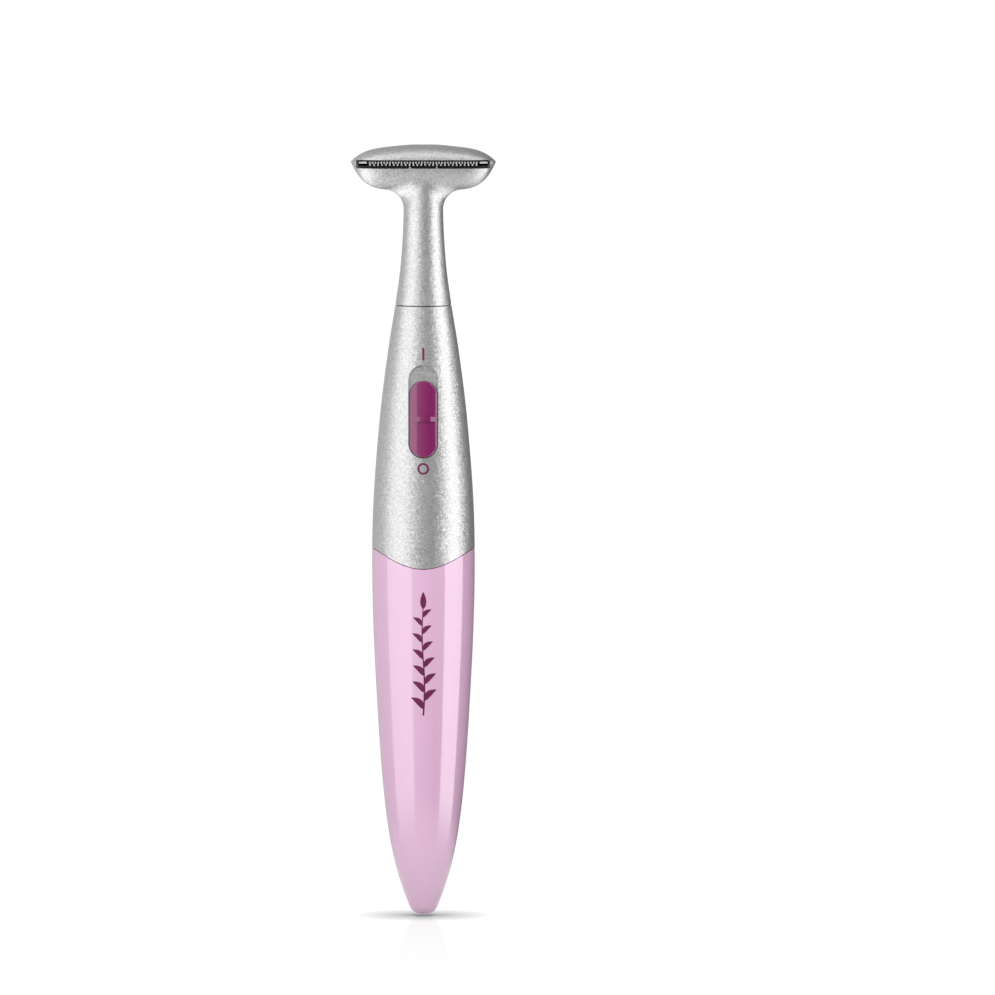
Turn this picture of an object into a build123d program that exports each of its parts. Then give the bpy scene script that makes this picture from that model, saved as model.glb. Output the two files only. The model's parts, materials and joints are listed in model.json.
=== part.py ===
"""Cordless body-hair trimmer with a T-shaped head, a slide switch and a pull-off battery cap.

Millimetres. The long axis is +Z with the head at the top, the origin is the centre of the small
flat at the tip of the battery cap, the switch and the cutting edge face -Y, and the blade runs
along X. Each separate piece is written to its own STEP file.
"""

from build123d import *

import math
import os

# ---------------------------------------------------------------- driving dimensions
TOTAL_HEIGHT = 155.4

# Handle, shared by the battery cap and the upper housing: (radius, height) up the outside.
HANDLE_OUTLINE = [
    (2.85, 1.9),
    (4.37, 6.0),
    (6.45, 14.0),
    (8.00, 25.0),
    (9.15, 40.0),
    (10.05, 57.0),
    (10.35, 71.0),
    (10.10, 83.0),
    (9.15, 96.5),
    (8.05, 107.0),
    (6.84, 115.8),
    (5.66, 123.0),
]
TIP_FLAT_R = 0.9
TIP_BEND = (1.98, 0.62)
HANDLE_TOP_Z = 123.0
HOUSING_WALL = 1.4
CAP_WALL = 1.3
CAP_CAVITY_Z = 7.0
CAP_RIB_R = 6.5

# Wavy joint between cap and housing: it dips in a tongue at the front and at the back.
WAVE_SIDE_Z = 74.3
WAVE_DIP = 3.8
WAVE_GAP = 0.14

# Slide switch, laid out on a plane that leans with the tapering front of the handle.
SWITCH_Z = 102.14
RECESS_W = 6.0
RECESS_L = 18.8
RECESS_DEPTH = 0.85
BUTTON_W = 5.65
BUTTON_L = 15.35
BUTTON_RISE = 0.5
BUTTON_DOME_R = 5.8
BUTTON_LOW_Z = -0.73
RIB_RISE = 1.0
RIB_DOME_R = 3.5
RIB_W = 0.95
SEAL_RIM = 0.08
SWITCH_TRAVEL = 3.2
SLIT_W = 3.0
STEM_W = 2.7
STEM_L = 5.0

# Trimming head: a flat lens split at its equator into a shell with the neck, and a crown.
HEAD_HALF_W = 14.7
HEAD_HALF_D = 5.2
HEAD_EQUATOR_Z = 151.8
CROWN_RISE = TOTAL_HEIGHT - HEAD_EQUATOR_Z
SHELL_DROP = 5.6
SHELL_OVERBITE = 0.15
HEAD_WALL = 0.95
NECK_OUTLINE = [(5.63, 123.2), (5.08, 127.0), (4.51, 132.0), (4.16, 137.0), (3.98, 142.0)]
NECK_FILLET = 3.9
SLOT_HALF_W = 13.5
SLOT_Z = (150.75, 152.45)
SLOT_BACK_Y = -1.9

# Coupling between handle and head.
FLANGE_Z = (118.0, 120.0)
SPIGOT_R = 4.27
SPIGOT_TOP_Z = 127.1
NOSE_R = 3.42
NOSE_TOP_Z = 130.9
SOCKET_CLEARANCE = 0.08
SPIGOT_RING_Z = 124.0
KEY_Z = (125.2, 126.9)
LEVER_CAVITY_R = 3.0

# Drive: motor, shaft, crank, swinging lever, sliding blade.
MOTOR_R = 6.0
MOTOR_FLAT_Y = 5.0
MOTOR_Z = (74.0, 90.0)
SHAFT_R = 1.0
MOTOR_SHAFT_R = 0.75
CRANK_R = 2.3
CRANK_PIN_R = 0.4
CRANK_THROW = 0.5
CRANK_Z = (131.2, 132.35)
CRANK_PIN_TOP_Z = 134.9
LEVER_PIVOT_Z = 140.5
LEVER_FORK_Z = 132.7
LEVER_TIP_Z = 150.0
LEVER_SWING_DEG = 4.25

# Blades: the fixed comb on top, the moving blade sliding under it.
FIXED_BLADE_Z = (151.80, 152.15)
MOVING_BLADE_Z = (151.36, 151.74)
FIXED_HALF_W = 12.9
MOVING_HALF_W = 11.2
FIXED_TIP_Y = -5.75
MOVING_TIP_Y = -5.45
FIXED_PITCH = 0.58
MOVING_PITCH = 0.79
TOOTH_ROOT_Y = -4.1

# AAA cell and the cradle that holds it.
CELL_R = 5.2
CELL_Z = (22.6, 66.3)
CELL_NUB_Z = 67.1
CRADLE_R = 6.0
CRADLE_BORE_R = 5.3
CRADLE_BASE_Z = (18.8, 19.8)
BULKHEAD_Z = (67.6, 69.6)
COLLAR_R = 8.90
COLLAR_Z = (62.0, 77.0)
COLLAR_BORE_R = 9.00
CAP_SEAL_Z = 64.9
FRAME_SCREW_XY = (3.3, 5.9)
FRAME_SCREW_R = 0.6
STRIP_X = (5.36, 5.54)


# ---------------------------------------------------------------- helpers
def outline_edge():
    """The outside of the handle from the tip bend up to the housing's top, in the XZ plane."""
    return Spline(*HANDLE_OUTLINE, tangents=[(1.0, 2.4), (-0.165, 1.0)])


HANDLE_EDGE = outline_edge()


def handle_radius(z):
    """Outer radius of the handle at height z."""
    low, high = 0.0, 1.0
    for _ in range(40):
        middle = (low + high) / 2
        if HANDLE_EDGE.position_at(middle).Y < z:
            low = middle
        else:
            high = middle
    return HANDLE_EDGE.position_at(low).X


def turned(points, tangents=None):
    """Solid of revolution under a smooth (radius, z) outline, closed to the Z axis."""
    curve = Spline(*points, tangents=tangents) if len(points) > 2 else Line(*points)
    (r0, z0), (r1, z1) = points[0], points[-1]
    closing = Polyline((r1, z1), (0, z1), (0, z0), (r0, z0))
    return revolve(Plane.XZ * make_face([curve, closing]), Axis.Z, 360)


def disc(radius, z0, z1, x=0.0, y=0.0):
    """Upright cylinder between two heights."""
    return Pos(x, y, z0) * Cylinder(radius, z1 - z0, align=(Align.CENTER, Align.CENTER, Align.MIN))


def block(x, y, z):
    """Box between the given (low, high) pairs."""
    return Pos(x[0], y[0], z[0]) * Box(
        x[1] - x[0], y[1] - y[0], z[1] - z[0], align=(Align.MIN, Align.MIN, Align.MIN)
    )


def tube(outer, inner, z0, z1):
    return disc(outer, z0, z1) - disc(inner, z0 - 1, z1 + 1)


def inside_handle(margin, z0, z1, steps=8):
    """The handle's outer shape shrunk radially by margin, between two heights."""
    heights = [z0 + (z1 - z0) * i / steps for i in range(steps + 1)]
    return turned([(handle_radius(z) - margin, z) for z in heights])


def below_wave(shift):
    """Everything below the wavy joint, raised by shift, as one thick prism along Y."""
    reach = handle_radius(WAVE_SIDE_Z) + 0.3
    side = WAVE_SIDE_Z + shift
    low = side - 1.6 * WAVE_DIP
    far = 20.0
    shares = ((-1, side), (-0.8, side), (-0.15, low), (0.15, low), (0.8, side), (1, side))
    wave = Bezier(*[(share * reach, z) for share, z in shares])
    rest = Polyline((reach, side), (far, side), (far, -5), (-far, -5), (-far, side), (-reach, side))
    return extrude(Plane.XZ * make_face([wave, rest]), amount=far, both=True)


def pill(width, length):
    """Flat slot shape with its length along Y."""
    return Rot(0, 0, 90) * SlotOverall(length, width)


# ---------------------------------------------------------------- handle casings
def handle_outer():
    """Outer shape of cap and housing together."""
    low_r, low_z = HANDLE_OUTLINE[0]
    tip = ThreePointArc((TIP_FLAT_R, 0), TIP_BEND, (low_r, low_z))
    closing = Polyline(
        (HANDLE_OUTLINE[-1][0], HANDLE_TOP_Z), (0, HANDLE_TOP_Z), (0, 0), (TIP_FLAT_R, 0)
    )
    return revolve(Plane.XZ * make_face([tip, HANDLE_EDGE, closing]), Axis.Z, 360)


def make_battery_cap():
    """Glossy lower casing: a deep cup whose mouth slides over the cradle's collar."""
    bore_z = COLLAR_Z[0] - 2.0
    cavity = inside_handle(CAP_WALL, CAP_CAVITY_Z, bore_z) + disc(COLLAR_BORE_R, bore_z, WAVE_SIDE_Z + 2)
    ribs = Part()
    for turn in range(4):
        rib = block((-0.4, 0.4), (CAP_RIB_R, 9.0), (26.0, 58.0))
        ribs += Rot(0, 0, 45 + 90 * turn) * rib
    ribs &= inside_handle(0.6, 20.0, 60.0)
    cap = (handle_outer() & below_wave(-WAVE_GAP / 2)) - cavity
    return cap + ribs


def make_upper_housing():
    """Silver one-piece upper casing with the recess that the switch button slides in."""
    outer = handle_outer() - below_wave(WAVE_GAP / 2)
    cavity = disc(COLLAR_BORE_R, 60.0, 78.5) + inside_handle(HOUSING_WALL, 78.0, FLANGE_Z[1])
    top_hole = disc(SPIGOT_R + 0.01, FLANGE_Z[1] - 0.5, HANDLE_TOP_Z + 1)
    shell = outer - cavity - top_hole
    plane = switch_plane()
    recess = plane * Pos(0, 0, -RECESS_DEPTH) * extrude(pill(RECESS_W, RECESS_L), 4)
    slit_l = STEM_L + SWITCH_TRAVEL + 0.6
    slit = plane * Pos(0, slit_centre(), -6) * extrude(pill(SLIT_W, slit_l), 8)
    return shell - recess - slit


# ---------------------------------------------------------------- switch
def switch_lean():
    """Angle between the handle's front line and the vertical, at the switch."""
    half = RECESS_L / 2
    rise = handle_radius(SWITCH_Z - half) - handle_radius(SWITCH_Z + half)
    return math.atan2(rise, RECESS_L)


def switch_plane():
    """Plane on the front surface at the recess: X across, Y up the slope, Z outwards."""
    lean = switch_lean()
    return Plane(
        origin=(0, -handle_radius(SWITCH_Z), SWITCH_Z),
        x_dir=(1, 0, 0),
        z_dir=(0, -math.cos(lean), math.sin(lean)),
    )


def button_centre():
    """Rest place of the button along the recess: at its lower end, off."""
    return -(RECESS_L - BUTTON_L) / 2 + 0.15


def slit_centre():
    return button_centre() + SWITCH_TRAVEL / 2


def domed_pill(rise, dome_r):
    """The button's pill shape under a round dome that crowns it across its width."""
    body = Pos(0, 0, BUTTON_LOW_Z) * extrude(pill(BUTTON_W, BUTTON_L), 4)
    return body & Pos(0, 0, rise - dome_r) * Rot(90, 0, 0) * Cylinder(dome_r, BUTTON_L + 4)


def make_switch_button():
    """Thumb button: a domed pill with a higher, rounder rib across its middle."""
    body = domed_pill(BUTTON_RISE, BUTTON_DOME_R)
    rim = [e for e in body.edges() if e.bounding_box().min.Z > BUTTON_LOW_Z + 0.1]
    body = fillet(rim, 0.3)
    body += domed_pill(RIB_RISE, RIB_DOME_R) & block((-4, 4), (-RIB_W / 2, RIB_W / 2), (-3, 3))
    stem = Pos(0, 0, -2.7) * extrude(pill(STEM_W, STEM_L), 2.75 + BUTTON_LOW_Z)
    return switch_plane() * Pos(0, button_centre(), 0) * (body + stem)


def make_switch_seal():
    """Black dust seal round the foot of the button; it slides along the recess with it."""
    rim = pill(BUTTON_W + 2 * SEAL_RIM, BUTTON_L + 2 * SEAL_RIM) - pill(BUTTON_W, BUTTON_L)
    return switch_plane() * Pos(0, button_centre(), BUTTON_LOW_Z - 0.06) * extrude(rim, 0.3)


def make_switch_slider():
    """Carriage that clips to the stem under the housing wall and carries the wiper."""
    plate = Pos(0, 0, -3.5) * extrude(Rectangle(6.2, 10.4), 0.8)
    plate = fillet(plate.edges().filter_by(Axis.Z), 0.6)
    bosses = Part()
    for y in (-3.6, 3.6):
        bosses += Pos(0, y, -3.95) * Cylinder(0.55, 0.5, align=(Align.CENTER, Align.CENTER, Align.MIN))
    return switch_plane() * Pos(0, button_centre(), 0) * (plate + bosses)


def make_switch_wiper():
    """Bent brass strip riveted under the carriage; its two bumps bridge the fixed contacts."""
    path = FilletPolyline(
        (-4.4, -4.0), (-3.2, -4.0), (-2.2, -4.5), (-1.2, -4.0),
        (1.2, -4.0), (2.2, -4.5), (3.2, -4.0), (4.4, -4.0),
        radius=0.35,
    )
    strip = extrude(Plane.YZ * trace(path, 0.16), amount=0.9, both=True)
    holes = Pos(0, -3.6, -4) * Cylinder(0.56, 2) + Pos(0, 3.6, -4) * Cylinder(0.56, 2)
    return switch_plane() * Pos(0, button_centre(), 0) * (strip - holes)


def make_switch_contacts():
    """Two fixed contact pads on the motor frame, under the wiper's path."""
    pads = Part()
    for y0, y1 in ((-5.6, -1.0), (1.0, 6.6)):
        pads += Pos(0, (y0 + y1) / 2, -4.95) * Box(2.4, y1 - y0, 0.3)
    return switch_plane() * pads


# ---------------------------------------------------------------- motor frame and drive
def motor_bay(gap, z0, z1):
    """Space of the motor: a round barrel with two flats, grown by gap."""
    flats = block((-9, 9), (-MOTOR_FLAT_Y - gap, MOTOR_FLAT_Y + gap), (z0, z1))
    return disc(MOTOR_R + gap, z0, z1) & flats


def make_motor_frame():
    """Moulded skeleton inside the housing: motor bay, switch shelf and lower bearing seat."""
    z0, z1 = BULKHEAD_Z[1] + 0.05, FLANGE_Z[0] - 0.05
    margin = HOUSING_WALL + 0.12
    body = inside_handle(margin, COLLAR_Z[1] + 0.05, z1)
    frame = body + disc(7.9, z0, COLLAR_Z[1] + 0.3)
    frame -= block((-12, 12), (-12, 1.6 - MOTOR_FLAT_Y), (60, MOTOR_Z[1] - 1.0))
    frame -= block((-12, 12), (-12, -2.4), (MOTOR_Z[1] + 1.0, 125))
    shelf = switch_plane() * Pos(0, 0.4, -6.3) * Box(5.6, 15.0, 2.4)
    frame += shelf & body
    frame -= motor_bay(0.05, z0 - 1, MOTOR_Z[1])
    frame -= disc(2.9, MOTOR_Z[1] - 0.5, 97.5)
    frame -= disc(2.0, 97.0, 99.6)
    frame -= disc(SHAFT_R + 0.3, 99.0, 120)
    for side in (-1, 1):
        frame -= block((side * 6.3 - 1.2, side * 6.3 + 1.2), (-0.9, 0.9), (60, MOTOR_Z[1] + 2))
        frame -= disc(FRAME_SCREW_R, 60, BULKHEAD_Z[1] + 6.1, side * FRAME_SCREW_XY[0], FRAME_SCREW_XY[1])
    return frame


def make_motor_can():
    """Drawn steel can with two flats, open at the bottom for the end bell."""
    can = motor_bay(0, *MOTOR_Z)
    can = fillet(can.edges().group_by(Axis.Z)[-1], 0.6)
    inner = motor_bay(-0.5, MOTOR_Z[0], MOTOR_Z[1] - 0.5)
    boss = disc(2.2, MOTOR_Z[1], MOTOR_Z[1] + 0.9)
    vents = block((-0.9, 0.9), (-9, 9), (MOTOR_Z[0] + 2.5, MOTOR_Z[0] + 4.5))
    return can - inner - vents + boss - disc(MOTOR_SHAFT_R + 0.05, MOTOR_Z[1] - 2, MOTOR_Z[1] + 2)


def make_motor_end_bell():
    """Plastic end bell that closes the can and carries the rear bearing."""
    z = MOTOR_Z[0]
    bell = motor_bay(-0.5, z, z + 1.6) + motor_bay(0, z - 1.2, z) + disc(1.9, z - 2.0, z - 1.2)
    bell -= disc(MOTOR_SHAFT_R + 0.05, z - 3, z + 3)
    for x in (-1, 1):
        bell -= block((x * 4.3 - 0.9, x * 4.3 + 0.9), (-0.2, 0.2), (z - 2, z + 2))
    return bell


def make_motor_terminals():
    """Two brass tabs that come out through the end bell."""
    tabs = Part()
    for x in (-1, 1):
        tabs += block((x * 4.3 - 0.9, x * 4.3 + 0.9), (-0.2, 0.2), (MOTOR_Z[0] - 2.6, MOTOR_Z[0] + 1.6))
    return tabs


def make_motor_magnets():
    """Two arc magnets glued inside the can."""
    ring = tube(MOTOR_R - 0.5, MOTOR_R - 1.5, MOTOR_Z[0] + 5.0, MOTOR_Z[1] - 1.5)
    ring &= block((-9, 9), (-3.4, 3.4), MOTOR_Z)
    return ring


def make_motor_armature():
    """Three-pole armature with its commutator, pressed on the motor shaft."""
    z0, z1 = MOTOR_Z[0] + 5.5, MOTOR_Z[1] - 2.0
    core = disc(1.6, z0, z1)
    for turn in range(3):
        pole = block((-0.6, 0.6), (0, 3.6), (z0, z1))
        shoe = tube(3.9, 3.3, z0, z1) & block((-2.4, 2.4), (0, 9), (z0, z1))
        winding = block((-1.4, 1.4), (1.7, 3.1), (z0 - 0.5, z1 + 0.5))
        core += Rot(0, 0, 120 * turn) * (pole + shoe + winding)
    commutator = disc(1.5, MOTOR_Z[0] + 2.0, z0)
    return core + commutator - disc(MOTOR_SHAFT_R, z0 - 9, z1 + 9)


def make_motor_shaft():
    return disc(MOTOR_SHAFT_R, MOTOR_Z[0] - 1.9, MOTOR_Z[1] + 3.6)


def make_shaft_coupling():
    """Moulded sleeve that joins the motor shaft to the long drive shaft."""
    sleeve = disc(2.4, MOTOR_Z[1] + 1.2, 96.6)
    sleeve = chamfer(sleeve.edges().group_by(Axis.Z)[-1], 0.4)
    sleeve -= disc(MOTOR_SHAFT_R, 80, MOTOR_Z[1] + 3.6) + disc(SHAFT_R, MOTOR_Z[1] + 3.6, 99)
    return sleeve


def make_drive_shaft():
    return disc(SHAFT_R, MOTOR_Z[1] + 3.6, CRANK_Z[0])


def make_crank():
    """Drive disc with the offset pin that swings the lever in the head."""
    plate = disc(CRANK_R, *CRANK_Z)
    plate = chamfer(plate.edges().group_by(Axis.Z)[-1], 0.2)
    pin = disc(CRANK_PIN_R, CRANK_Z[1] - 0.1, CRANK_PIN_TOP_Z, 0, -CRANK_THROW)
    return plate + pin


def make_lower_bush():
    return tube(2.0, SHAFT_R + 0.04, 97.5, 99.6)


def make_upper_bush():
    return tube(2.1, SHAFT_R + 0.04, NOSE_TOP_Z - 3.0, NOSE_TOP_Z - 0.2)


def make_coupling_spigot():
    """Stepped nose at the top of the handle that the head's neck slides over."""
    flange = inside_handle(HOUSING_WALL + 0.2, FLANGE_Z[0], FLANGE_Z[1], 3)
    spigot = flange + disc(SPIGOT_R, FLANGE_Z[1] - 0.1, SPIGOT_TOP_Z)
    spigot += disc(NOSE_R, SPIGOT_TOP_Z, NOSE_TOP_Z)
    spigot = chamfer(spigot.edges().group_by(Axis.Z)[-1], 0.35)
    groove = tube(SPIGOT_R + 1, SPIGOT_R - 0.57, SPIGOT_RING_Z - 0.5, SPIGOT_RING_Z + 0.5)
    bore = disc(SHAFT_R + 0.3, 116, 132) + disc(2.1, NOSE_TOP_Z - 3.0, NOSE_TOP_Z + 1)
    keyway = block((-0.7, 0.7), (SPIGOT_R - 0.6, SPIGOT_R + 2), (KEY_Z[0] - 0.2, SPIGOT_TOP_Z + 1))
    return spigot - groove - bore - keyway


def make_spigot_ring():
    """Rubber ring in the spigot's groove; it holds the head on by friction."""
    return Pos(0, 0, SPIGOT_RING_Z) * Torus(SPIGOT_R - 0.26, 0.29)


# ---------------------------------------------------------------- battery end
def make_battery_cradle():
    """Half-open trough for the cell, with a bulkhead and the collar the cap slides on."""
    z0, z1 = CRADLE_BASE_Z
    open_back = block((-12, 12), (1.2, 12), (z1, BULKHEAD_Z[0]))
    cradle = disc(5.7, z0, z1) + tube(CRADLE_R, CRADLE_BORE_R, z1, BULKHEAD_Z[0] + 0.1) - open_back
    for z in (30.0, 42.0, 54.0):
        cradle += tube(CRADLE_R + 0.35, CRADLE_BORE_R, z, z + 1.2) - open_back
    cradle += disc(COLLAR_R, *BULKHEAD_Z) + tube(COLLAR_R, 8.0, *COLLAR_Z)
    cradle += tube(COLLAR_R, 7.6, COLLAR_Z[0], BULKHEAD_Z[0] + 0.1)
    web = block((-7.8, 7.8), (-1.2, 1.2), (COLLAR_Z[0], BULKHEAD_Z[0] + 0.1))
    cradle += web - disc(CRADLE_BORE_R, 60, 80)
    cradle -= tube(COLLAR_R + 1, COLLAR_R - 0.45, CAP_SEAL_Z - 0.45, CAP_SEAL_Z + 0.45)
    cradle -= block((STRIP_X[0] - 0.2, STRIP_X[1] + 0.06), (-1.1, 1.1), (z1, BULKHEAD_Z[1] + 1))
    cradle -= block((-7.1, -6.3), (-0.7, 0.7), (BULKHEAD_Z[0] - 0.5, BULKHEAD_Z[1] + 1))
    cradle -= block((-7.1, -5.0), (-0.7, 0.7), (BULKHEAD_Z[0] - 0.5, BULKHEAD_Z[0]))
    for side in (-1, 1):
        x, y = side * FRAME_SCREW_XY[0], FRAME_SCREW_XY[1]
        cradle -= disc(0.7, 60, 72, x, y) + disc(1.3, 60, BULKHEAD_Z[0], x, y)
    return cradle


def make_frame_screws():
    """Two self-tapping screws that hold the cradle to the motor frame."""
    screws = Part()
    z = BULKHEAD_Z[0]
    for side in (-1, 1):
        x, y = side * FRAME_SCREW_XY[0], FRAME_SCREW_XY[1]
        screw = disc(FRAME_SCREW_R, z - 0.1, BULKHEAD_Z[1] + 6, x, y) + disc(1.15, z - 0.8, z, x, y)
        cross = block((x - 0.7, x + 0.7), (y - 0.13, y + 0.13), (z - 1, z - 0.45))
        cross += block((x - 0.13, x + 0.13), (y - 0.7, y + 0.7), (z - 1, z - 0.45))
        screws += screw - cross
    return screws


def make_cap_seal():
    """Rubber ring between the collar and the battery cap."""
    return Pos(0, 0, CAP_SEAL_Z) * Torus(COLLAR_R - 0.2, 0.24)


def make_battery_cell():
    can = disc(CELL_R, *CELL_Z)
    can = fillet(can.edges(), 0.4)
    return can + disc(1.9, CELL_Z[1] - 0.1, CELL_NUB_Z) + disc(3.0, CELL_Z[0] - 0.15, CELL_Z[0] + 0.1)


def make_battery_spring():
    """Conical coil spring that presses on the cell's flat end."""
    turns, wire = 3.2, 0.22
    base = CRADLE_BASE_Z[1] + 0.25
    height = CELL_Z[0] - 0.2 - base - 2 * wire
    coil = Pos(0, 0, base + wire) * Helix(height / turns, height, 3.6, cone_angle=-24)
    start = Plane(origin=coil @ 0, z_dir=coil % 0)
    return sweep(start * Circle(wire), path=coil)


def make_positive_contact():
    """Plate that the cell's nub touches, with the strip that runs up to the switch."""
    top = BULKHEAD_Z[0] - 0.02
    plate = block((-3.0, 3.0), (-2.2, 2.2), (CELL_NUB_Z + 0.02, top))
    arm = block((-6.9, -2.9), (-0.5, 0.5), (CELL_NUB_Z + 0.2, top))
    riser = block((-6.9, -6.6), (-0.5, 0.5), (CELL_NUB_Z + 0.2, MOTOR_Z[1] + 1.5))
    return plate + arm + riser


def make_negative_strip():
    """Strip from under the battery spring, up beside the cell, to the motor."""
    z = CRADLE_BASE_Z[1]
    foot = disc(4.2, z, z + 0.2) + block((0.0, STRIP_X[1]), (-0.9, 0.9), (z, z + 0.2))
    riser = block(STRIP_X, (-0.9, 0.9), (z, MOTOR_Z[0] - 2.2))
    return foot + riser


# ---------------------------------------------------------------- head casings
def crown_share(u):
    """Height of the crown at share u of the half width: a shallow arch with rounded ends."""
    return 1 - 0.47 * u**2 - 0.53 * u**7.5


def shell_share(u):
    """Drop of the shell at share u of the half width: flat below with rounded ends."""
    return 1 - u**6


def lens_section(x, half_w, half_d, drop):
    """Half-ellipse section of the lens at x, hanging below the equator plane."""
    depth = half_d * math.sqrt(1 - (abs(x) / half_w) ** 6)
    plane = Plane(origin=(x, 0, HEAD_EQUATOR_Z), x_dir=(0, 1, 0), z_dir=(1, 0, 0))
    return plane * (Ellipse(depth, drop) & Pos(0, -drop) * Rectangle(2.2 * depth, 2 * drop))


def half_lens(height, share, inset=0.0, shorten=0.0):
    """Half of the head's lens shape, shrunk by inset, hanging below the equator plane."""
    half_w, half_d = HEAD_HALF_W - shorten - inset, HEAD_HALF_D - inset
    steps = (-0.993, -0.93, -0.82, -0.62, -0.32, 0.0, 0.32, 0.62, 0.82, 0.93, 0.993)
    sections = [lens_section(u * half_w, half_w, half_d, (height - inset) * share(abs(u))) for u in steps]
    return loft(sections)


def shell_lens(inset=0.0):
    return half_lens(SHELL_DROP, shell_share, inset, SHELL_OVERBITE)


def crown_lens(inset=0.0):
    return mirror(half_lens(CROWN_RISE, crown_share, inset), about=Plane.XY.offset(HEAD_EQUATOR_Z))


def blade_slot():
    return block((-SLOT_HALF_W, SLOT_HALF_W), (-12, SLOT_BACK_Y), SLOT_Z)


def is_neck_joint(box):
    """Whether an edge with this bounding box lies where the neck meets the shell."""
    return box.min.Z > 144.5 and box.max.Z < 149.5 and box.size.X < 9.0 and abs(box.center().X) < 4.5


def make_head_shell():
    """Lower half of the head in one piece with the neck, flared into it."""
    neck = turned(NECK_OUTLINE + [(NECK_OUTLINE[-1][0], 148.5)], tangents=[(-0.12, 1), (0, 1)])
    body = shell_lens() + neck
    body = fillet([e for e in body.edges() if is_neck_joint(e.bounding_box())], NECK_FILLET)
    body -= shell_lens(HEAD_WALL)
    body -= disc(SPIGOT_R + SOCKET_CLEARANCE, 120, SPIGOT_TOP_Z + 0.25)
    body -= disc(NOSE_R + SOCKET_CLEARANCE, 120, NOSE_TOP_Z + 0.3)
    body -= disc(LEVER_CAVITY_R, 125, 149.5)
    body -= Pos(0, 0, LEVER_PIVOT_Z) * Rot(90, 0, 0) * Cylinder(0.6, 6.8)
    body -= Pos(0, 3.6, LEVER_PIVOT_Z) * Rot(90, 0, 0) * Cylinder(0.6, 3.0)
    body += block((-0.6, 0.6), (3.75, SPIGOT_R + 0.3), KEY_Z)
    body -= blade_slot()
    for x in (-2.7, 2.7):
        body += block((x - 0.16, x + 0.16), (-5.05, -4.42), (SLOT_Z[0] - 0.3, SLOT_Z[0] + 0.45))
    return body


def make_head_crown():
    """Domed cover of the head, snapped on along the equator."""
    return crown_lens() - crown_lens(HEAD_WALL) - blade_slot()


def make_blade_carrier():
    """Black frame inside the head that guides both blades and fills the ends of the slot."""
    inset = HEAD_WALL + 0.08
    space = shell_lens(inset) + crown_lens(inset)
    low, high = 149.1, 153.2
    half = SLOT_HALF_W - 0.1
    core = space & block((-half, half), (-6, 6), (low, high))
    nose = block((-half, half), (-4.35, -3.0), (SLOT_Z[0] + 0.05, SLOT_Z[1] - 0.05))
    reach = shell_lens(0.3) + crown_lens(0.3)
    carrier = core + (nose & reach)
    window_half = FIXED_HALF_W + 0.1
    carrier -= block((-window_half, window_half), (-9, 3.2), (MOVING_BLADE_Z[0] - 0.1, FIXED_BLADE_Z[1]))
    carrier -= block((-3.3, 3.3), (-2.0, 2.0), (low - 1, MOVING_BLADE_Z[0]))
    carrier -= block((-7.6, 7.6), (-3.6, -2.4), (149.6, MOVING_BLADE_Z[0]))
    for x in (-8.2, 8.2):
        carrier -= disc(0.5, 150, 154, x, 1.6)
        carrier -= disc(1.0, low - 1, MOVING_BLADE_Z[0], x, 1.6)
    return carrier


# ---------------------------------------------------------------- blades and lever
def comb(half_w, pitch, tip_y, z, tooth_share):
    """Straight row of pointed teeth along the front edge of a blade."""
    count = int(half_w * 2 / pitch)
    first = -(count - 1) / 2 * pitch
    half = pitch * tooth_share / 2
    outline = [(-half, 0), (-half, -0.55), (-half * 0.45, -1), (half * 0.45, -1), (half, -0.55), (half, 0)]
    length = TOOTH_ROOT_Y - tip_y
    face = make_face(Polyline(*[(x, y * length) for x, y in outline], close=True))
    tooth = extrude(face, z[1] - z[0])
    return [Pos(first + i * pitch, TOOTH_ROOT_Y, z[0]) * tooth for i in range(count)]


def make_fixed_blade():
    """Comb blade with fine teeth and a plain land at each end, screwed under the carrier."""
    root = TOOTH_ROOT_Y - 0.02
    right = [(FIXED_HALF_W, root), (FIXED_HALF_W, 0.5), (10.5, 2.9)]
    left = [(-x, y) for x, y in reversed(right)]
    face = make_face(Polyline(*right, *left, close=True))
    plate = Pos(0, 0, FIXED_BLADE_Z[0]) * extrude(face, FIXED_BLADE_Z[1] - FIXED_BLADE_Z[0])
    land_w = 1.7
    teeth = comb(FIXED_HALF_W - land_w, FIXED_PITCH, FIXED_TIP_Y, FIXED_BLADE_Z, 0.62)
    for side in (-1, 1):
        edge = side * FIXED_HALF_W
        inner = edge - side * (land_w - 0.15)
        plate += block(sorted((inner, edge)), (FIXED_TIP_Y + 0.45, TOOTH_ROOT_Y), FIXED_BLADE_Z)
    plate = plate + teeth
    for x in (-8.2, 8.2):
        plate -= disc(0.5, 150, 154, x, 1.6)
    return plate


def make_moving_blade():
    """Toothed cutter that slides under the comb, with a tongue back to its driver."""
    slant = 0.9
    root = TOOTH_ROOT_Y - 0.02
    strip = make_face(
        Polyline(
            (-MOVING_HALF_W, root), (MOVING_HALF_W, root),
            (MOVING_HALF_W - slant, -2.3), (-MOVING_HALF_W + slant, -2.3),
            close=True,
        )
    )
    plate = Pos(0, 0, MOVING_BLADE_Z[0]) * extrude(strip, MOVING_BLADE_Z[1] - MOVING_BLADE_Z[0])
    plate += block((-2.9, 2.9), (-2.4, 1.7), MOVING_BLADE_Z)
    plate = plate + comb(MOVING_HALF_W, MOVING_PITCH, MOVING_TIP_Y, MOVING_BLADE_Z, 0.58)
    for x in (-1.9, 1.9):
        plate -= disc(0.35, 150, 153, x, 0)
    return plate


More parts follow.
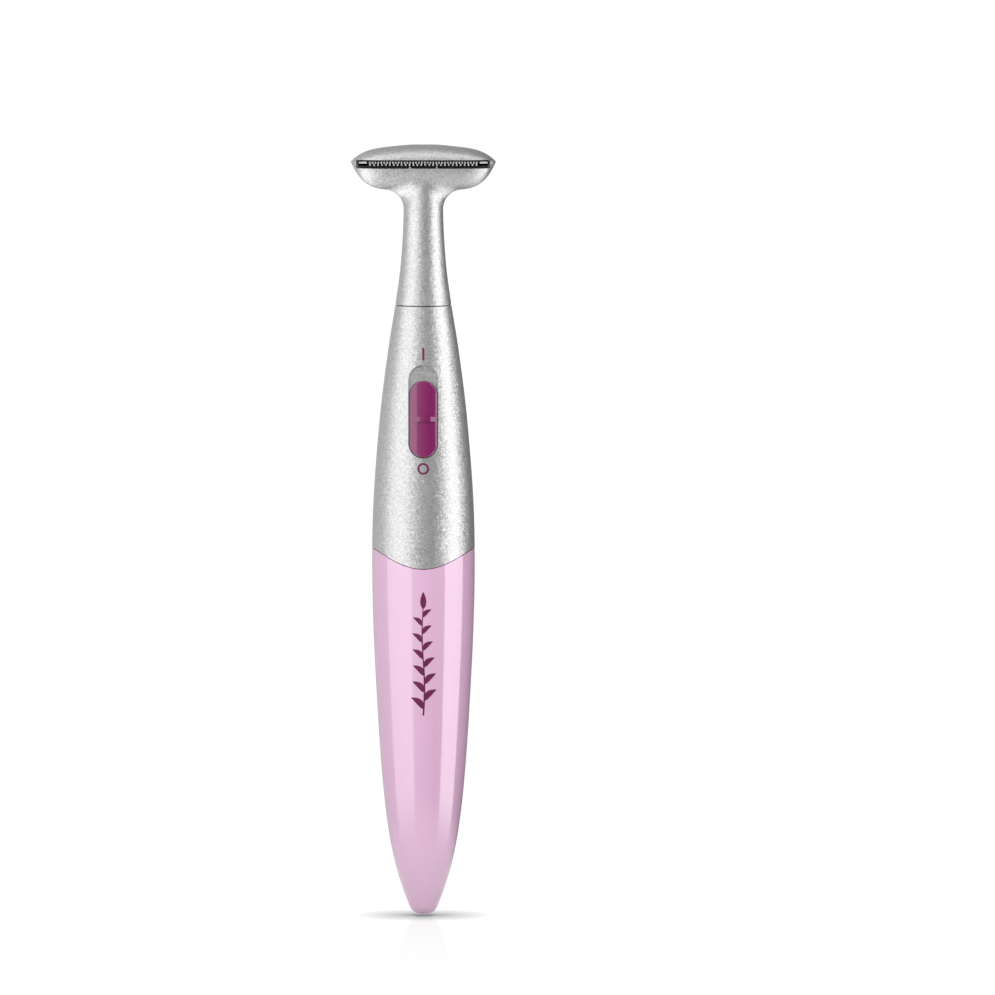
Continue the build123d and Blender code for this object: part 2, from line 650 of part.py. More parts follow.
def make_blade_driver():
    """Moulded slider riveted under the moving blade, with the slot the lever's tip works in."""
    driver = block((-2.4, 2.4), (-1.5, 1.5), (149.2, MOVING_BLADE_Z[0]))
    driver = fillet(driver.edges().filter_by(Axis.Z), 0.5)
    driver -= block((-0.75, 0.75), (-1.1, 1.1), (149.0, 150.9))
    for x in (-1.9, 1.9):
        driver += disc(0.35, MOVING_BLADE_Z[0] - 0.1, MOVING_BLADE_Z[1], x, 0)
    return driver


def make_blade_spring():
    """Leaf spring in the carrier that presses the moving blade up against the comb."""
    path = FilletPolyline(
        (-7.3, 151.18), (-6.6, 151.18), (-3.6, 149.75), (3.6, 149.75), (6.6, 151.18), (7.3, 151.18),
        radius=0.8,
    )
    return Pos(0, -3.0, 0) * extrude(Plane.XZ * trace(path, 0.14), amount=0.45, both=True)


def make_blade_screws():
    """Two small screws that clamp the fixed blade to the carrier."""
    screws = Part()
    for x in (-8.2, 8.2):
        screw = disc(0.5, FIXED_BLADE_Z[0] - 0.1, 153.1, x, 1.6)
        head = disc(0.85, FIXED_BLADE_Z[0] - 0.45, FIXED_BLADE_Z[0], x, 1.6)
        drive = block((x - 0.6, x + 0.6), (1.48, 1.72), (151, FIXED_BLADE_Z[0] - 0.25))
        screws += screw + head - drive
    return screws


def make_drive_lever():
    """Swinging lever in the neck: a fork below, a pivot eye, and a round tip above."""
    fork_half, slot_half, depth = 2.1, 1.56, 0.85
    arm_top = LEVER_TIP_Z - 0.4
    legs = block((-fork_half, fork_half), (-depth, depth), (LEVER_FORK_Z, 137.0))
    legs -= block((-slot_half, slot_half), (-3, 3), (LEVER_FORK_Z - 1, CRANK_PIN_TOP_Z + 0.5))
    shank = block((-1.1, 1.1), (-0.8, 0.8), (136.5, arm_top))
    shank = fillet(shank.edges().filter_by(Axis.Z), 0.3)
    eye = Pos(0, 0, LEVER_PIVOT_Z) * Rot(90, 0, 0) * Cylinder(1.75, 2 * depth + 0.6)
    tip_arm = block((-0.5, 0.5), (-0.7, 0.7), (148.0, LEVER_TIP_Z))
    tip = Pos(0, 0, LEVER_TIP_Z) * Rot(90, 0, 0) * Cylinder(0.68, 1.6)
    shank &= block((-3, 3), (-3, 3), (130, 148.4))
    lever = legs + shank + eye + tip_arm + tip
    return lever - Pos(0, 0, LEVER_PIVOT_Z) * Rot(90, 0, 0) * Cylinder(0.65, 6)


def make_lever_pin():
    """Steel pivot pin across the neck, pushed in from the back."""
    return Pos(0, 0.2, LEVER_PIVOT_Z) * Rot(90, 0, 0) * Cylinder(0.6, 7.2)


# ---------------------------------------------------------------- the whole set
PIECES = {
    "battery_cap": make_battery_cap,
    "upper_housing": make_upper_housing,
    "switch_button": make_switch_button,
    "switch_seal": make_switch_seal,
    "switch_slider": make_switch_slider,
    "switch_wiper": make_switch_wiper,
    "switch_contacts": make_switch_contacts,
    "motor_frame": make_motor_frame,
    "motor_can": make_motor_can,
    "motor_end_bell": make_motor_end_bell,
    "motor_terminals": make_motor_terminals,
    "motor_magnets": make_motor_magnets,
    "motor_armature": make_motor_armature,
    "motor_shaft": make_motor_shaft,
    "shaft_coupling": make_shaft_coupling,
    "drive_shaft": make_drive_shaft,
    "crank": make_crank,
    "lower_bush": make_lower_bush,
    "upper_bush": make_upper_bush,
    "coupling_spigot": make_coupling_spigot,
    "spigot_ring": make_spigot_ring,
    "battery_cradle": make_battery_cradle,
    "frame_screws": make_frame_screws,
    "cap_seal": make_cap_seal,
    "battery_cell": make_battery_cell,
    "battery_spring": make_battery_spring,
    "positive_contact": make_positive_contact,
    "negative_strip": make_negative_strip,
    "head_shell": make_head_shell,
    "head_crown": make_head_crown,
    "blade_carrier": make_blade_carrier,
    "fixed_blade": make_fixed_blade,
    "moving_blade": make_moving_blade,
    "blade_driver": make_blade_driver,
    "blade_spring": make_blade_spring,
    "blade_screws": make_blade_screws,
    "drive_lever": make_drive_lever,
    "lever_pin": make_lever_pin,
}

if __name__ == "__main__":
    os.makedirs("parts", exist_ok=True)
    for name, make in PIECES.items():
        export_step(make(), f"parts/{name}.step")
        print("wrote", name)
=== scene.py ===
"""Looks, light and camera for the cordless body-hair trimmer.

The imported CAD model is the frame: every node keeps its place and gets a procedural material here.
Printed marks are thin pieces laid on the casings. Units are metres, +Z is up, the front is -Y.
"""

import json
import math

import bmesh
import bpy
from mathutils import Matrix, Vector
from mathutils.bvhtree import BVHTree


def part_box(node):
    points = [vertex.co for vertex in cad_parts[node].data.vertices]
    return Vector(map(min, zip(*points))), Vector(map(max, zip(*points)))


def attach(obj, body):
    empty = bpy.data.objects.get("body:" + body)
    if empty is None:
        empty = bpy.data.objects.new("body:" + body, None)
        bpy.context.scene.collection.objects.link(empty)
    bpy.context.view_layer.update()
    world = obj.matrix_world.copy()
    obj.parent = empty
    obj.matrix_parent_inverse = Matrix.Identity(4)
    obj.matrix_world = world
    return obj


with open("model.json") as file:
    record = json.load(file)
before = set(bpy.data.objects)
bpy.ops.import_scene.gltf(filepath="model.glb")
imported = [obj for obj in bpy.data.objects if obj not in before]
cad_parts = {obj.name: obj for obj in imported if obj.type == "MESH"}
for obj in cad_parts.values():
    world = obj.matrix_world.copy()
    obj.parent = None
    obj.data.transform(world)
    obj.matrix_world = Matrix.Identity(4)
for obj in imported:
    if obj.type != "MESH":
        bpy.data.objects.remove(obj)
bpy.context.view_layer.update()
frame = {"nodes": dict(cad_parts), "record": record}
NODES = frame["nodes"]
MM = 0.001


# ---------------------------------------------------------------- material helpers
def remap(tree, source, given, wanted, kind="LINEAR"):
    """Output that runs over the wanted range while source runs over the given one."""
    made = tree.nodes.new("ShaderNodeMapRange")
    made.interpolation_type = kind
    values = (*given, *wanted)
    for socket, value in zip(("From Min", "From Max", "To Min", "To Max"), values):
        made.inputs[socket].default_value = value
    tree.links.new(source, made.inputs["Value"])
    return made.outputs["Result"]


def axes(tree, output="Object"):
    """The X, Y and Z outputs of the given texture coordinates."""
    place = tree.nodes.new("ShaderNodeTexCoord")
    split = tree.nodes.new("ShaderNodeSeparateXYZ")
    tree.links.new(place.outputs[output], split.inputs[0])
    return split.outputs


def maths(tree, operation, first, second=None):
    """One arithmetic step; the second term is a number, an output or nothing."""
    made = tree.nodes.new("ShaderNodeMath")
    made.operation = operation
    tree.links.new(first, made.inputs[0])
    if isinstance(second, float):
        made.inputs[1].default_value = second
    elif second is not None:
        tree.links.new(second, made.inputs[1])
    return made.outputs[0]


class Paint:
    """A material with one Principled shader and short calls for the nodes that feed it."""

    def __init__(self, name, **values):
        self.material = bpy.data.materials.new(name)
        self.material.use_nodes = True
        self.tree = self.material.node_tree
        self.shader = self.tree.nodes["Principled BSDF"]
        self.place = self.node("ShaderNodeTexCoord").outputs["Object"]
        for socket, value in values.items():
            self.shader.inputs[socket.replace("_", " ")].default_value = value

    def node(self, kind, **settings):
        """New node with the given settings."""
        made = self.tree.nodes.new(kind)
        for key, value in settings.items():
            setattr(made, key, value)
        return made

    def link(self, source, target):
        """Joins an output to an input."""
        self.tree.links.new(source, target)

    def stretched(self, scale):
        """Object coordinates scaled differently along each axis."""
        mapping = self.node("ShaderNodeMapping")
        mapping.inputs["Scale"].default_value = scale
        self.link(self.place, mapping.inputs["Vector"])
        return mapping.outputs["Vector"]

    def noise(self, size, detail=3.0, rough=0.5, vector=None):
        """Noise whose features are about size metres across."""
        made = self.node("ShaderNodeTexNoise")
        made.inputs["Scale"].default_value = 1.0 / size
        made.inputs["Detail"].default_value = detail
        made.inputs["Roughness"].default_value = rough
        self.link(vector or self.place, made.inputs["Vector"])
        return made.outputs["Fac"]

    def cells(self, size):
        """Random colour for each cell, about size metres across."""
        made = self.node("ShaderNodeTexVoronoi")
        made.inputs["Scale"].default_value = 1.0 / size
        self.link(self.place, made.inputs["Vector"])
        return made.outputs["Color"]

    def ramp(self, source, *stops):
        """Colour ramp through (position, colour) stops."""
        made = self.node("ShaderNodeValToRGB")
        elements = made.color_ramp.elements
        for index, (position, colour) in enumerate(stops):
            element = elements[index] if index < 2 else elements.new(position)
            element.position = position
            element.color = (*colour, 1.0)
        self.link(source, made.inputs["Fac"])
        return made.outputs["Color"]

    def span(self, source, low, high, start=0.3, end=0.7):
        """Source between start and end, remapped to low..high."""
        return remap(self.tree, source, (start, end), (low, high))

    def colour(self, source):
        """Feeds the base colour."""
        self.link(source, self.shader.inputs["Base Color"])

    def roughness(self, source):
        """Feeds the roughness."""
        self.link(source, self.shader.inputs["Roughness"])

    def bump(self, source, depth):
        """Raises the surface by source times depth metres."""
        made = self.node("ShaderNodeBump")
        made.inputs["Distance"].default_value = depth
        made.inputs["Strength"].default_value = 1.0
        self.link(source, made.inputs["Height"])
        self.link(made.outputs["Normal"], self.shader.inputs["Normal"])

    def flakes(self, size, tilt):
        """Tilts the normal of each small cell at random, as metal flakes in paint lie."""
        spread = self.node("ShaderNodeVectorMath", operation="SUBTRACT")
        self.link(self.cells(size), spread.inputs[0])
        spread.inputs[1].default_value = (0.5, 0.5, 0.5)
        scaled = self.node("ShaderNodeVectorMath", operation="SCALE")
        self.link(spread.outputs["Vector"], scaled.inputs[0])
        scaled.inputs["Scale"].default_value = tilt
        base = self.node("ShaderNodeNewGeometry").outputs["Normal"]
        added = self.node("ShaderNodeVectorMath", operation="ADD")
        self.link(base, added.inputs[0])
        self.link(scaled.outputs["Vector"], added.inputs[1])
        unit = self.node("ShaderNodeVectorMath", operation="NORMALIZE")
        self.link(added.outputs["Vector"], unit.inputs[0])
        self.link(unit.outputs["Vector"], self.shader.inputs["Normal"])


def grey(value):
    """Grey as a colour."""
    return (value, value, value)


def shade(colour, factor):
    """Colour made darker or lighter by factor."""
    return tuple(channel * factor for channel in colour)


def mottled(paint, colour, size, amount):
    """Base colour varied by plus or minus amount over blotches of the given size."""
    blotches = paint.noise(size)
    paint.colour(paint.ramp(blotches, (0.3, shade(colour, 1 - amount)), (0.7, shade(colour, 1 + amount))))


# ---------------------------------------------------------------- materials
STEEL = grey(0.55)


def silver_paint():
    """Sparkling silver paint: fine flakes under a satin lacquer."""
    paint = Paint("silver_paint", Metallic=0.92, Coat_Weight=0.15, Coat_Roughness=0.3)
    grain = paint.noise(0.3 * MM, 3.0, 0.7)
    silver = grey(0.59)
    paint.colour(paint.ramp(grain, (0.25, shade(silver, 0.66)), (0.5, silver), (0.75, shade(silver, 1.3))))
    paint.roughness(paint.span(paint.noise(0.4 * MM), 0.38, 0.48))
    paint.flakes(0.22 * MM, 0.20)
    return paint.material


def pink_gloss():
    """Pearl pink plastic with a polished skin."""
    paint = Paint("pink_gloss", Coat_Weight=1.0, Coat_Roughness=0.05, Coat_IOR=1.95)
    mottled(paint, (0.64, 0.38, 0.56), 6 * MM, 0.012)
    paint.roughness(paint.span(paint.noise(0.4 * MM), 0.36, 0.44))
    paint.bump(paint.noise(1.6 * MM, 1.0), 0.0008 * MM)
    return paint.material


def purple_gloss():
    """Deep purple glossy plastic of the switch button."""
    coat = {"Coat_Weight": 1.0, "Coat_Roughness": 0.12, "Coat_IOR": 1.75}
    paint = Paint("purple_gloss", Specular_IOR_Level=0.05, **coat)
    mottled(paint, (0.165, 0.005, 0.084), 1.5 * MM, 0.04)
    paint.roughness(paint.span(paint.noise(0.3 * MM), 0.3, 0.42))
    paint.bump(paint.noise(0.25 * MM, 2.0), 0.002 * MM)
    return paint.material


def purple_ink():
    """Printed marks: slightly uneven purple ink."""
    paint = Paint("purple_ink")
    mottled(paint, (0.115, 0.002, 0.050), 0.3 * MM, 0.06)
    paint.roughness(paint.span(paint.noise(0.2 * MM), 0.35, 0.5))
    paint.bump(paint.noise(0.12 * MM, 2.0), 0.002 * MM)
    return paint.material


def moulded(name, colour, rough=(0.45, 0.6), grain=0.18 * MM, depth=0.006 * MM):
    """Moulded plastic with a fine spark-eroded grain."""
    paint = Paint(name, Specular_IOR_Level=0.25)
    mottled(paint, colour, 2.5 * MM, 0.06)
    paint.roughness(paint.span(paint.noise(grain), *rough))
    paint.bump(paint.noise(grain, 3.0, 0.6), depth)
    return paint.material


def rubber():
    """Matt black rubber with a dusty bloom."""
    paint = Paint("rubber")
    bloom = paint.noise(0.8 * MM, 4.0, 0.7)
    paint.colour(paint.ramp(bloom, (0.35, grey(0.012)), (0.8, grey(0.035))))
    paint.roughness(paint.span(bloom, 0.6, 0.85))
    paint.bump(paint.noise(0.1 * MM, 3.0), 0.004 * MM)
    return paint.material


def ground_metal(name, colour, along, rough=(0.22, 0.38), depth=0.0015 * MM):
    """Ground or drawn metal: fine streaks that run along the given axis."""
    paint = Paint(name, Metallic=1.0)
    scale = [1.0, 1.0, 1.0]
    scale["XYZ".index(along)] = 0.03
    streaks = paint.noise(0.06 * MM, 3.0, 0.6, paint.stretched(scale))
    paint.colour(paint.ramp(streaks, (0.3, shade(colour, 0.88)), (0.7, shade(colour, 1.1))))
    paint.roughness(paint.span(streaks, *rough))
    paint.bump(streaks, depth)
    return paint.material


def teeth_with_painted_gap_shade(name, colour):
    """Blade steel: bright ground teeth, with the steel behind them painted near black as painted shade in
    the deep gaps between the teeth.
    """
    paint = Paint(name, Metallic=1.0)
    # painted shade: the colour runs from bright at the tooth tips to near black deeper in Y, standing in
    # for shadow in the tooth gaps
    depth = paint.span(axes(paint.tree)["Y"], 0.0, 1.0, -5.2 * MM, -4.5 * MM)
    paint.colour(paint.ramp(depth, (0.1, colour), (0.9, grey(0.015))))
    streaks = paint.noise(0.05 * MM, 3.0, 0.6, paint.stretched([1.0, 0.05, 1.0]))
    paint.roughness(paint.span(streaks, 0.42, 0.58))
    paint.bump(streaks, 0.0015 * MM)
    return paint.material


def cast_grains(name, colour, metallic, grain=0.12 * MM):
    """Sintered metal or ferrite: open grains with dark pores."""
    paint = Paint(name, Metallic=metallic)
    pores = paint.noise(grain, 4.0, 0.7)
    paint.colour(paint.ramp(pores, (0.35, shade(colour, 0.45)), (0.55, colour), (0.8, shade(colour, 1.2))))
    paint.roughness(paint.span(pores, 0.7, 0.45))
    paint.bump(pores, 0.008 * MM)
    return paint.material


def windings():
    """Enamelled copper wire laid side by side; the dark stripes between the turns are painted shade in the
    grooves.
    """
    paint = Paint("copper", Metallic=0.9)
    wave = paint.node("ShaderNodeTexWave", bands_direction="Z")
    wave.inputs["Scale"].default_value = 1.0 / (1.3 * MM)
    wave.inputs["Distortion"].default_value = 0.6
    paint.link(paint.place, wave.inputs["Vector"])
    # painted shade: the troughs of the wave, the grooves between turns, are coloured dark
    paint.colour(paint.ramp(wave.outputs["Fac"], (0.1, (0.16, 0.05, 0.02)), (0.7, (0.72, 0.3, 0.13))))
    paint.roughness(paint.span(wave.outputs["Fac"], 0.5, 0.28))
    paint.bump(wave.outputs["Fac"], 0.03 * MM)
    return paint.material


def cell_jacket():
    """Plain battery jacket: a dark wrap with a lighter band at the plus end and bare steel ends."""
    low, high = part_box("battery_cell")
    paint = Paint("cell_jacket", Coat_Weight=0.6, Coat_Roughness=0.12)
    height = paint.span(axes(paint.tree)["Z"], 0.0, 1.0, low.z, high.z)
    wrap = (0.03, 0.032, 0.04)
    band = (0.55, 0.35, 0.14)
    paint.colour(paint.ramp(
        height, (0.0, STEEL), (0.016, wrap), (0.70, wrap), (0.71, band), (0.955, band), (0.965, STEEL),
    ))
    paint.roughness(paint.span(paint.noise(0.6 * MM), 0.22, 0.36))
    paint.bump(paint.noise(0.9 * MM, 2.0), 0.004 * MM)
    return paint.material


MATERIALS = {
    "silver_paint": silver_paint(),
    "pink_gloss": pink_gloss(),
    "purple_gloss": purple_gloss(),
    "black_plastic": moulded("black_plastic", grey(0.012)),
    "grey_plastic": moulded("grey_plastic", (0.055, 0.055, 0.06)),
    "white_pom": moulded("white_pom", (0.74, 0.73, 0.70), (0.35, 0.5), 0.3 * MM, 0.003 * MM),
    "blade_steel": teeth_with_painted_gap_shade("blade_steel", grey(1.0)),
    "steel": ground_metal("steel", STEEL, "Z"),
    "motor_steel": ground_metal("motor_steel", grey(0.6), "Z", (0.3, 0.45)),
    "magnet": cast_grains("magnet", grey(0.05), 0.3),
    "copper": windings(),
    "brass": ground_metal("brass", (0.62, 0.43, 0.17), "Z", (0.25, 0.4)),
    "bronze": cast_grains("bronze", (0.42, 0.25, 0.10), 0.9),
    "rubber": rubber(),
    "cell_jacket": cell_jacket(),
}
INK = purple_ink()


def dress_nodes():
    """Gives each CAD node the material of its slot."""
    slots = {part["node"]: part["material_slot"] for part in frame["record"]["subparts"]}
    for name, node in NODES.items():
        material = MATERIALS[slots[name]]
        if not node.data.materials:
            node.data.materials.append(material)
        for index in range(len(node.data.materials)):
            node.data.materials[index] = material


# ---------------------------------------------------------------- printed marks
INK_THICKNESS = 0.03 * MM
INK_SINK = 0.06 * MM
SPRIG_LEAVES = 12
LEAF_ANGLE = 48


class Surface:
    """The front of a CAD node, asked for by its place as seen from straight ahead."""

    def __init__(self, node):
        self.tree = BVHTree.FromObject(NODES[node], bpy.context.evaluated_depsgraph_get())

    def front(self, x, z):
        """Y of the surface that a ray from in front meets first."""
        hit = self.tree.ray_cast(Vector((x, -0.1, z)), Vector((0, 1, 0)))[0]
        return hit.y


def mark(name, node, body, patches):
    """Thin printed piece on a node: each patch is a grid of (x, z) places."""
    surface = Surface(node)
    mesh = bmesh.new()
    for patch in patches:
        rows = [
            [mesh.verts.new((x, surface.front(x, z) - INK_THICKNESS, z)) for x, z in row]
            for row in patch
        ]
        for upper, lower in zip(rows, rows[1:]):
            for i in range(len(upper) - 1):
                mesh.faces.new((upper[i], upper[i + 1], lower[i + 1], lower[i]))
    bmesh.ops.remove_doubles(mesh, verts=mesh.verts, dist=0.002 * MM)
    bmesh.ops.recalc_face_normals(mesh, faces=mesh.faces)
    if sum(face.normal.y for face in mesh.faces) > 0:
        bmesh.ops.reverse_faces(mesh, faces=mesh.faces)
    data = bpy.data.meshes.new(name)
    mesh.to_mesh(data)
    mesh.free()
    piece = bpy.data.objects.new(name, data)
    bpy.context.scene.collection.objects.link(piece)
    solid = piece.modifiers.new("thickness", "SOLIDIFY")
    solid.thickness = INK_THICKNESS + INK_SINK
    solid.offset = -1.0
    data.materials.append(INK)
    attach(piece, body)


def ring_patch(x, z, inner, outer, around=48, across=3):
    """Flat ring round (x, z)."""
    rows = []
    for i in range(around + 1):
        angle = 2 * math.pi * i / around
        radii = [inner + (outer - inner) * j / across for j in range(across + 1)]
        rows.append([(x + r * math.cos(angle), z + r * math.sin(angle)) for r in radii])
    return rows


def bar_patch(x, z, width, height, across=3, along=16):
    """Upright bar centred on (x, z)."""
    return [
        [(x + width * (i / across - 0.5), z + height * (j / along - 0.5)) for i in range(across + 1)]
        for j in range(along + 1)
    ]


def leaf_patch(x, z, length, width, angle, droop=0.0, along=14, across=4):
    """Pointed leaf that starts at (x, z) and grows at the given angle from +X, bent by droop."""
    rows = []
    for j in range(along + 1):
        u = j / along
        half = width / 2 * (math.sin(math.pi * u**0.8) ** 0.85) + 0.01 * MM
        bend = droop * length * math.sin(math.pi * u)
        row = []
        for i in range(across + 1):
            v = half * (2 * i / across - 1) + bend
            row.append((
                x + u * length * math.cos(angle) - v * math.sin(angle),
                z + u * length * math.sin(angle) + v * math.cos(angle),
            ))
        rows.append(row)
    return rows


def stem_patch(x, low, high, width, sway, along=48):
    """Thin upright stem that sways gently from side to side."""
    rows = []
    for j in range(along + 1):
        u = j / along
        middle = x + sway * math.sin(2 * math.pi * u)
        half = width / 2 * (1 - 0.5 * u)
        rows.append([(middle - half, low + u * (high - low)), (middle + half, low + u * (high - low))])
    return rows


def sprig(low, high, half_width):
    """Upright sprig: a swaying stem with leaves on alternate sides and one at the top."""
    sway = 0.12 * half_width
    leaf = half_width * 1.75
    stem_top = high - leaf * 0.8
    patches = [stem_patch(0.0, low, stem_top, 0.34 * MM, sway)]
    for k in range(SPRIG_LEAVES):
        u = (k + 0.8) / (SPRIG_LEAVES + 1.2)
        side = 1 if k % 2 else -1
        z = low + u * (stem_top - low)
        x = sway * math.sin(2 * math.pi * u)
        size = leaf * (1 - 0.35 * u)
        angle = math.radians(90 - side * LEAF_ANGLE)
        patches.append(leaf_patch(x, z, size, size * 0.36, angle, 0.12 * side))
    patches.append(leaf_patch(0.0, high - leaf, leaf, leaf * 0.34, math.radians(90)))
    return patches


def printed_marks():
    """On and off marks beside the switch, and the sprig on the battery cap."""
    bar = bar_patch(0.0, 113.6 * MM, 0.42 * MM, 2.4 * MM)
    ring = ring_patch(0.0, 90.68 * MM, 0.78 * MM, 1.18 * MM)
    mark("switch_mark_on", "upper_housing", "handle", [bar])
    mark("switch_mark_off", "upper_housing", "handle", [ring])
    mark("cap_sprig", "battery_cap", "battery_cap", sprig(41.0 * MM, 66.0 * MM, 2.0 * MM))


# ---------------------------------------------------------------- floor, light, camera
CAMERA_DISTANCE = 3.7
CAMERA_HEIGHT = 0.3237
FRAME_WIDTH = 0.2002
AIM = Vector((0.0149, 0.0, 0.0843))
SENSOR = 36.0
FLOOR_RADIUS = 0.45
FLOOR_WHITE = 1.03
FLOOR_LIGHT = 0.62
CONTACT_SHADOW = 11 * MM
MIRROR_STRENGTH = 0.16
SHEET_RADIUS = 0.12
UNDER_RADIUS = 0.6
LIGHT_TARGET = Vector((0, 0, 0.08))


def make_camera():
    """Long lens, a little above the trimmer, which stands left of the middle of the picture."""
    data = bpy.data.cameras.new("camera")
    camera = bpy.data.objects.new("camera", data)
    bpy.context.scene.collection.objects.link(camera)
    camera.location = (AIM.x, -CAMERA_DISTANCE, CAMERA_HEIGHT)
    sight = AIM - camera.location
    data.sensor_width = SENSOR
    data.lens = SENSOR * sight.length / FRAME_WIDTH
    data.clip_start = 0.1
    data.clip_end = 50.0
    camera.rotation_mode = "QUATERNION"
    camera.rotation_quaternion = sight.to_track_quat("-Z", "Y")
    bpy.context.scene.camera = camera


def staged(name, mesh, material):
    """Stage object made from a bmesh."""
    data = bpy.data.meshes.new(name)
    mesh.to_mesh(data)
    mesh.free()
    data.materials.append(material)
    piece = bpy.data.objects.new(name, data)
    bpy.context.scene.collection.objects.link(piece)
    return piece


def floor_material():
    """White table top: darker close under the tip, with a faint mirror image in front that fades."""
    material = bpy.data.materials.new("floor_white")
    material.use_nodes = True
    tree = material.node_tree
    tree.nodes.clear()
    near = tree.nodes.new("ShaderNodeAmbientOcclusion")
    near.inputs["Distance"].default_value = CONTACT_SHADOW
    near.samples = 16
    path = tree.nodes.new("ShaderNodeLightPath")
    level = remap(tree, path.outputs["Is Camera Ray"], (0.0, 1.0), (FLOOR_LIGHT, FLOOR_WHITE))
    glow = tree.nodes.new("ShaderNodeEmission")
    shadow = maths(tree, "POWER", near.outputs["AO"], 1.7)
    tree.links.new(maths(tree, "MULTIPLY", shadow, level), glow.inputs["Strength"])
    place = axes(tree)
    fade = remap(tree, place["Y"], (-0.15, 0.0), (0.0, MIRROR_STRENGTH))
    narrow = remap(tree, maths(tree, "ABSOLUTE", place["X"]), (0.02, 0.05), (1.0, 0.0), "SMOOTHSTEP")
    front = remap(tree, place["Y"], (0.0, 0.03), (1.0, 0.0))
    share = maths(tree, "MULTIPLY", maths(tree, "MULTIPLY", narrow, front), fade)
    gloss = tree.nodes.new("ShaderNodeBsdfGlossy")
    gloss.inputs["Roughness"].default_value = 0.04
    mix = tree.nodes.new("ShaderNodeMixShader")
    out = tree.nodes.new("ShaderNodeOutputMaterial")
    tree.links.new(share, mix.inputs["Fac"])
    tree.links.new(glow.outputs[0], mix.inputs[1])
    tree.links.new(gloss.outputs[0], mix.inputs[2])
    tree.links.new(mix.outputs[0], out.inputs["Surface"])
    return material


def glowing(name, level):
    """Plain white that shines evenly."""
    material = bpy.data.materials.new(name)
    material.use_nodes = True
    shader = material.node_tree.nodes["Principled BSDF"]
    shader.inputs["Base Color"].default_value = (0, 0, 0, 1)
    shader.inputs["Specular IOR Level"].default_value = 0.0
    shader.inputs["Emission Color"].default_value = (1, 1, 1, 1)
    shader.inputs["Emission Strength"].default_value = level
    return material


def make_sheet_paper():
    """Glow that thins out towards the rim."""
    material = glowing("sheet_paper", 0.9)
    tree = material.node_tree
    place = tree.nodes.new("ShaderNodeTexCoord")
    away = tree.nodes.new("ShaderNodeVectorMath")
    away.operation = "LENGTH"
    tree.links.new(place.outputs["Object"], away.inputs[0])
    fade = remap(tree, away.outputs["Value"], (0.03, SHEET_RADIUS), (1.0, 0.0), "SMOOTHSTEP")
    tree.links.new(fade, tree.nodes["Principled BSDF"].inputs["Alpha"])
    return material


def make_under_paper():
    """Glow that is bright to the left and right, and dim along the middle."""
    material = glowing("under_paper", 2.1)
    tree = material.node_tree
    ramp = tree.nodes.new("ShaderNodeValToRGB")
    ramp.color_ramp.interpolation = "EASE"
    ramp.color_ramp.elements[0].color = (1, 1, 1, 1)
    ramp.color_ramp.elements[1].color = (0.8, 0.8, 0.8, 1)
    ramp.color_ramp.elements.new(0.52).color = (0.02, 0.02, 0.02, 1)
    tree.links.new(remap(tree, axes(tree)["X"], (-0.3, 0.3), (0.0, 1.0)), ramp.inputs["Fac"])
    tree.links.new(ramp.outputs["Color"], tree.nodes["Principled BSDF"].inputs["Emission Color"])
    return material


def staged_disc(name, radius, segments, material):
    """Flat round stage object at the origin."""
    mesh = bmesh.new()
    bmesh.ops.create_circle(mesh, cap_ends=True, segments=segments, radius=radius)
    return staged(name, mesh, material)


def make_floor():
    """Table top, bright sheets below it for the surfaces to mirror, and a white card behind."""
    floor = staged_disc("floor", FLOOR_RADIUS, 96, floor_material())
    floor.visible_glossy = False
    sheet = staged_disc("sheet", SHEET_RADIUS, 64, make_sheet_paper())
    sheet.location.z = -2 * MM
    under = staged_disc("under_sheet", UNDER_RADIUS, 64, make_under_paper())
    under.location.z = -0.3
    mesh = bmesh.new()
    corners = [(-0.07, 0.5, 0.0), (0.07, 0.5, 0.0), (0.07, 0.5, 0.3), (-0.07, 0.5, 0.3)]
    mesh.faces.new([mesh.verts.new(corner) for corner in corners])
    card = staged("card", mesh, glowing("card_white", 1.05))
    for glow in (sheet, under, card):
        glow.visible_camera = False
        glow.visible_diffuse = False


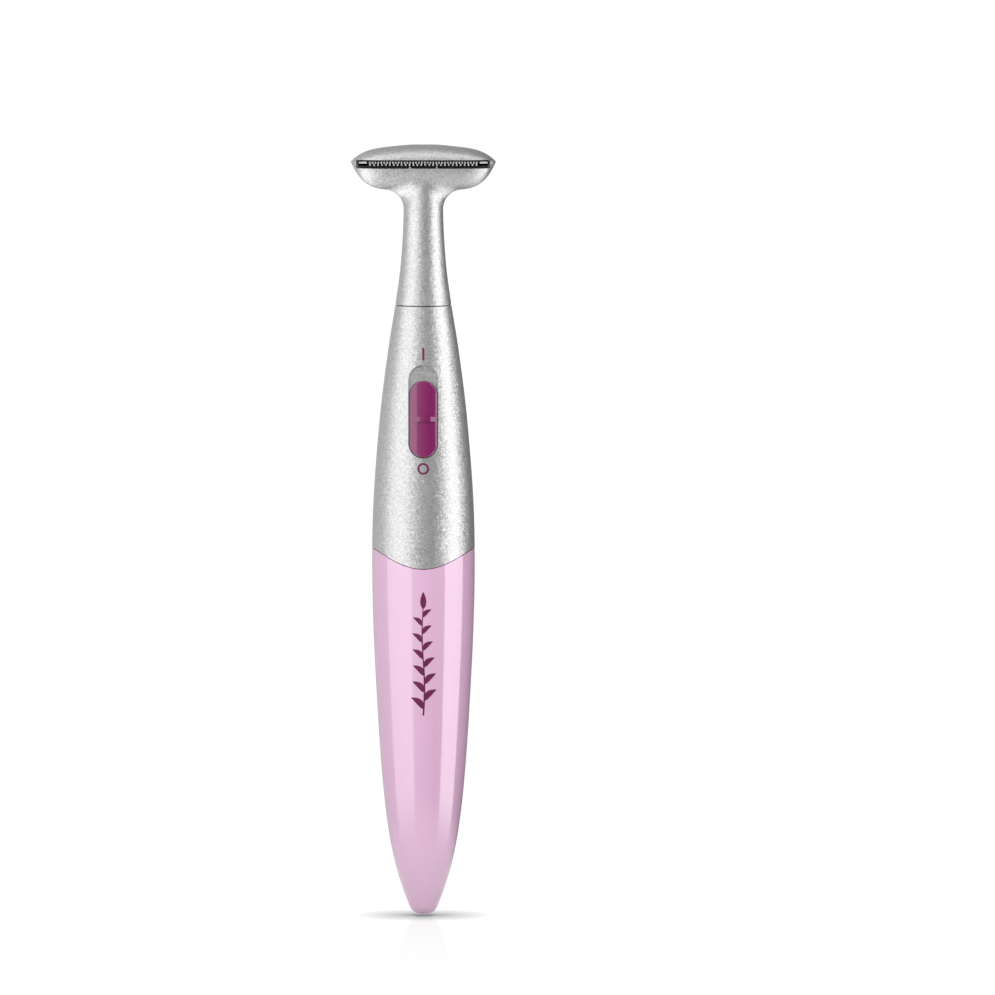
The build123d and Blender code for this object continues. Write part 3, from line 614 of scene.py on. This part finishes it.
def softbox(name, azimuth, width, height, distance, centre_z, radiance, shows="both"):
    """Upright soft box: azimuth is measured from the camera's side, positive to the right."""
    angle = math.radians(azimuth)
    data = bpy.data.lights.new(name, "AREA")
    data.shape = "RECTANGLE"
    data.size = width
    data.size_y = height
    data.energy = radiance * math.pi * width * height
    light = bpy.data.objects.new(name, data)
    light.location = (distance * math.sin(angle), -distance * math.cos(angle), centre_z)
    sight = LIGHT_TARGET - light.location
    light.rotation_mode = "QUATERNION"
    light.rotation_quaternion = sight.to_track_quat("-Z", "Y")
    light.visible_diffuse = shows != "glossy"
    light.visible_glossy = shows != "diffuse"
    bpy.context.scene.collection.objects.link(light)


def make_lights():
    """Two tall boxes whose reflections run down the sides, and even fill from the front."""
    softbox("softbox_left", -57, 1.15, 2.8, 0.95, 0.1, 1.08, "glossy")
    softbox("softbox_right", 74, 0.88, 2.8, 0.95, 0.1, 2.1, "glossy")
    softbox("fill_left", -40, 1.3, 2.3, 1.1, 0.3, 1.95, "diffuse")
    softbox("fill_right", 52, 1.3, 2.3, 1.1, 0.3, 2.1, "diffuse")
    softbox("softbox_top", 0, 1.2, 1.2, 0.4, 1.5, 0.9)


def make_world():
    """White to the eye; to the surfaces a dim grey room, darker on the right."""
    world = bpy.data.worlds.new("studio")
    bpy.context.scene.world = world
    world.use_nodes = True
    tree = world.node_tree
    tree.nodes.clear()
    out = tree.nodes.new("ShaderNodeOutputWorld")
    white = tree.nodes.new("ShaderNodeBackground")
    white.inputs["Color"].default_value = (1, 1, 1, 1)
    white.inputs["Strength"].default_value = 1.05
    room = tree.nodes.new("ShaderNodeBackground")
    ramp = tree.nodes.new("ShaderNodeValToRGB")
    ramp.color_ramp.elements[0].position = 0.3
    ramp.color_ramp.elements[0].color = (0.58, 0.58, 0.58, 1)
    ramp.color_ramp.elements[1].position = 0.75
    ramp.color_ramp.elements[1].color = (0.08, 0.08, 0.08, 1)
    across = remap(tree, axes(tree, "Generated")["X"], (-1.0, 1.0), (0.0, 1.0))
    tree.links.new(across, ramp.inputs["Fac"])
    tree.links.new(ramp.outputs["Color"], room.inputs["Color"])
    path = tree.nodes.new("ShaderNodeLightPath")
    mix = tree.nodes.new("ShaderNodeMixShader")
    tree.links.new(path.outputs["Is Camera Ray"], mix.inputs["Fac"])
    tree.links.new(room.outputs[0], mix.inputs[1])
    tree.links.new(white.outputs[0], mix.inputs[2])
    tree.links.new(mix.outputs[0], out.inputs["Surface"])


bpy.context.scene.view_settings.view_transform = "Standard"
dress_nodes()
printed_marks()
make_camera()
make_floor()
make_lights()
make_world()
